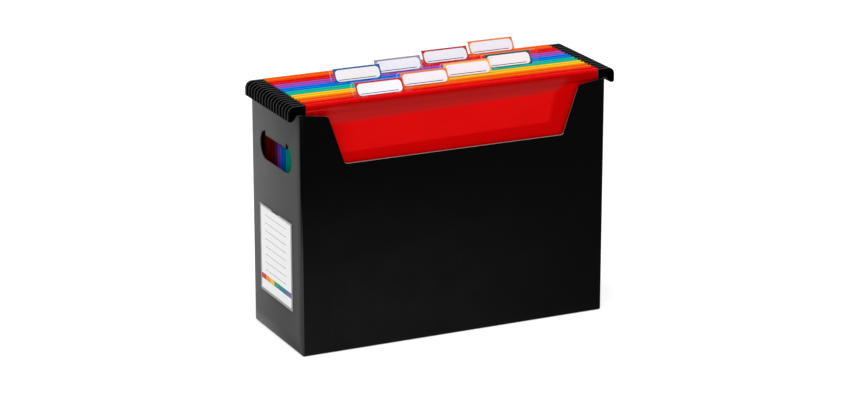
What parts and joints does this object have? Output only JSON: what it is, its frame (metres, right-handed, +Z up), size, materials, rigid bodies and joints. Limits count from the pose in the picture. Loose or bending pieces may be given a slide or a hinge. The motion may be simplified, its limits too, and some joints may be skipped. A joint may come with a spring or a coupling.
{
  "type": "portable file box",
  "caption": "Open-topped plastic file box with hand holes, a slanted front cut-out and a clear label pocket, carrying coloured suspension files with hooked rails and labelled tabs.",
  "frame": {"origin": "middle of the base, on the surface that the box stands on", "axes": "+X along the box's length to the right, +Y from the cut-out front to the back, +Z up"},
  "size_m": [0.412, 0.144, 0.3123],
  "materials": {
    "box_plastic": "fine satin polypropylene sheet",
    "clear_film": "clear film",
    "label_paper": "white card with grey writing lines and a rainbow stripe",
    "rail_plastic": "moulded, glossy",
    "clear_tab": "clear, glossy",
    "tab_paper": "white card with a coloured border",
    "red_sheet": "translucent glossy polypropylene sheet",
    "orange_sheet": "translucent glossy polypropylene sheet",
    "yellow_sheet": "translucent glossy polypropylene sheet",
    "green_sheet": "translucent glossy polypropylene sheet",
    "blue_sheet": "translucent glossy polypropylene sheet",
    "purple_sheet": "translucent glossy polypropylene sheet"
  },
  "bodies": {
    "box": {"box_shell": "box_plastic", "label_pocket": "clear_film"},
    "left_flap": {"left_grip_flap": "box_plastic"},
    "right_flap": {"right_grip_flap": "box_plastic"},
    "label": {"label_card": "label_paper"},
    "file_1_back": {"file_1_back_sheet": "red_sheet", "file_1_back_rail": "rail_plastic"},
    "file_1_front": {"file_1_front_sheet": "red_sheet", "file_1_front_rail": "rail_plastic", "file_1_tab": "clear_tab"},
    "file_1_card": {"file_1_tab_card": "tab_paper"},
    "file_2_back": {"file_2_back_sheet": "orange_sheet", "file_2_back_rail": "rail_plastic"},
    "file_2_front": {"file_2_front_sheet": "orange_sheet", "file_2_front_rail": "rail_plastic", "file_2_tab": "clear_tab"},
    "file_2_card": {"file_2_tab_card": "tab_paper"},
    "file_3_back": {"file_3_back_sheet": "yellow_sheet", "file_3_back_rail": "rail_plastic"},
    "file_3_front": {"file_3_front_sheet": "yellow_sheet", "file_3_front_rail": "rail_plastic", "file_3_tab": "clear_tab"},
    "file_3_card": {"file_3_tab_card": "tab_paper"},
    "file_4_back": {"file_4_back_sheet": "green_sheet", "file_4_back_rail": "rail_plastic"},
    "file_4_front": {"file_4_front_sheet": "green_sheet", "file_4_front_rail": "rail_plastic", "file_4_tab": "clear_tab"},
    "file_4_card": {"file_4_tab_card": "tab_paper"},
    "file_5_back": {"file_5_back_sheet": "blue_sheet", "file_5_back_rail": "rail_plastic"},
    "file_5_front": {"file_5_front_sheet": "blue_sheet", "file_5_front_rail": "rail_plastic", "file_5_tab": "clear_tab"},
    "file_5_card": {"file_5_tab_card": "tab_paper"},
    "file_6_back": {"file_6_back_sheet": "purple_sheet", "file_6_back_rail": "rail_plastic"},
    "file_6_front": {"file_6_front_sheet": "purple_sheet", "file_6_front_rail": "rail_plastic", "file_6_tab": "clear_tab"},
    "file_6_card": {"file_6_tab_card": "tab_paper"},
    "file_7_back": {"file_7_back_sheet": "red_sheet", "file_7_back_rail": "rail_plastic"},
    "file_7_front": {"file_7_front_sheet": "red_sheet", "file_7_front_rail": "rail_plastic", "file_7_tab": "clear_tab"},
    "file_7_card": {"file_7_tab_card": "tab_paper"},
    "file_8_back": {"file_8_back_sheet": "orange_sheet", "file_8_back_rail": "rail_plastic"},
    "file_8_front": {"file_8_front_sheet": "orange_sheet", "file_8_front_rail": "rail_plastic", "file_8_tab": "clear_tab"},
    "file_8_card": {"file_8_tab_card": "tab_paper"}
  },
  "joints": [
    {"name": "left_flap_crease", "type": "hinge", "parent": "box", "child": "left_flap", "pos_m": [-0.1919, 0.001, 0.2358], "axis": [0, 1, 0], "range_deg": [0, 9], "stiffness_Nm_per_rad": 0.01},
    {"name": "right_flap_crease", "type": "hinge", "parent": "box", "child": "right_flap", "pos_m": [0.1919, 0.001, 0.2358], "axis": [0, -1, 0], "range_deg": [0, 9], "stiffness_Nm_per_rad": 0.01},
    {"name": "label_card_slide", "type": "slide", "parent": "box", "child": "label", "axis": [0, 0, 1], "range_m": [0, 0.102]},
    {"name": "file_1_lift", "type": "slide", "parent": "box", "child": "file_1_back", "axis": [0, 0, 1], "range_m": [0, 0.25]},
    {"name": "file_1_open", "type": "hinge", "parent": "file_1_back", "child": "file_1_front", "pos_m": [0, -0.06451, 0.0567], "axis": [1, 0, 0], "range_deg": [-0.95, 0.2]},
    {"name": "file_1_card_slide", "type": "slide", "parent": "file_1_front", "child": "file_1_card", "axis": [1, 0, 0], "range_m": [0, 0.07]},
    {"name": "file_2_lift", "type": "slide", "parent": "box", "child": "file_2_back", "axis": [0, 0, 1], "range_m": [0, 0.25]},
    {"name": "file_2_open", "type": "hinge", "parent": "file_2_back", "child": "file_2_front", "pos_m": [0, -0.04817, 0.0567], "axis": [1, 0, 0], "range_deg": [-0.95, 0.95]},
    {"name": "file_2_card_slide", "type": "slide", "parent": "file_2_front", "child": "file_2_card", "axis": [1, 0, 0], "range_m": [0, 0.07]},
    {"name": "file_3_lift", "type": "slide", "parent": "box", "child": "file_3_back", "axis": [0, 0, 1], "range_m": [0, 0.25]},
    {"name": "file_3_open", "type": "hinge", "parent": "file_3_back", "child": "file_3_front", "pos_m": [0, -0.03182, 0.0567], "axis": [1, 0, 0], "range_deg": [-0.95, 0.95]},
    {"name": "file_3_card_slide", "type": "slide", "parent": "file_3_front", "child": "file_3_card", "axis": [1, 0, 0], "range_m": [0, 0.07]},
    {"name": "file_4_lift", "type": "slide", "parent": "box", "child": "file_4_back", "axis": [0, 0, 1], "range_m": [0, 0.25]},
    {"name": "file_4_open", "type": "hinge", "parent": "file_4_back", "child": "file_4_front", "pos_m": [0, -0.01547, 0.0567], "axis": [1, 0, 0], "range_deg": [-0.95, 0.95]},
    {"name": "file_4_card_slide", "type": "slide", "parent": "file_4_front", "child": "file_4_card", "axis": [1, 0, 0], "range_m": [0, 0.07]},
    {"name": "file_5_lift", "type": "slide", "parent": "box", "child": "file_5_back", "axis": [0, 0, 1], "range_m": [0, 0.25]},
    {"name": "file_5_open", "type": "hinge", "parent": "file_5_back", "child": "file_5_front", "pos_m": [0, 0.00087, 0.0567], "axis": [1, 0, 0], "range_deg": [-0.95, 0.95]},
    {"name": "file_5_card_slide", "type": "slide", "parent": "file_5_front", "child": "file_5_card", "axis": [1, 0, 0], "range_m": [0, 0.07]},
    {"name": "file_6_lift", "type": "slide", "parent": "box", "child": "file_6_back", "axis": [0, 0, 1], "range_m": [0, 0.25]},
    {"name": "file_6_open", "type": "hinge", "parent": "file_6_back", "child": "file_6_front", "pos_m": [0, 0.01722, 0.0567], "axis": [1, 0, 0], "range_deg": [-0.95, 0.95]},
    {"name": "file_6_card_slide", "type": "slide", "parent": "file_6_front", "child": "file_6_card", "axis": [1, 0, 0], "range_m": [0, 0.07]},
    {"name": "file_7_lift", "type": "slide", "parent": "box", "child": "file_7_back", "axis": [0, 0, 1], "range_m": [0, 0.25]},
    {"name": "file_7_open", "type": "hinge", "parent": "file_7_back", "child": "file_7_front", "pos_m": [0, 0.03357, 0.0567], "axis": [1, 0, 0], "range_deg": [-0.95, 0.95]},
    {"name": "file_7_card_slide", "type": "slide", "parent": "file_7_front", "child": "file_7_card", "axis": [1, 0, 0], "range_m": [0, 0.07]},
    {"name": "file_8_lift", "type": "slide", "parent": "box", "child": "file_8_back", "axis": [0, 0, 1], "range_m": [0, 0.25]},
    {"name": "file_8_open", "type": "hinge", "parent": "file_8_back", "child": "file_8_front", "pos_m": [0, 0.04991, 0.0567], "axis": [1, 0, 0], "range_deg": [-0.95, 0.95]},
    {"name": "file_8_card_slide", "type": "slide", "parent": "file_8_front", "child": "file_8_card", "axis": [1, 0, 0], "range_m": [0, 0.07]}
  ]
}
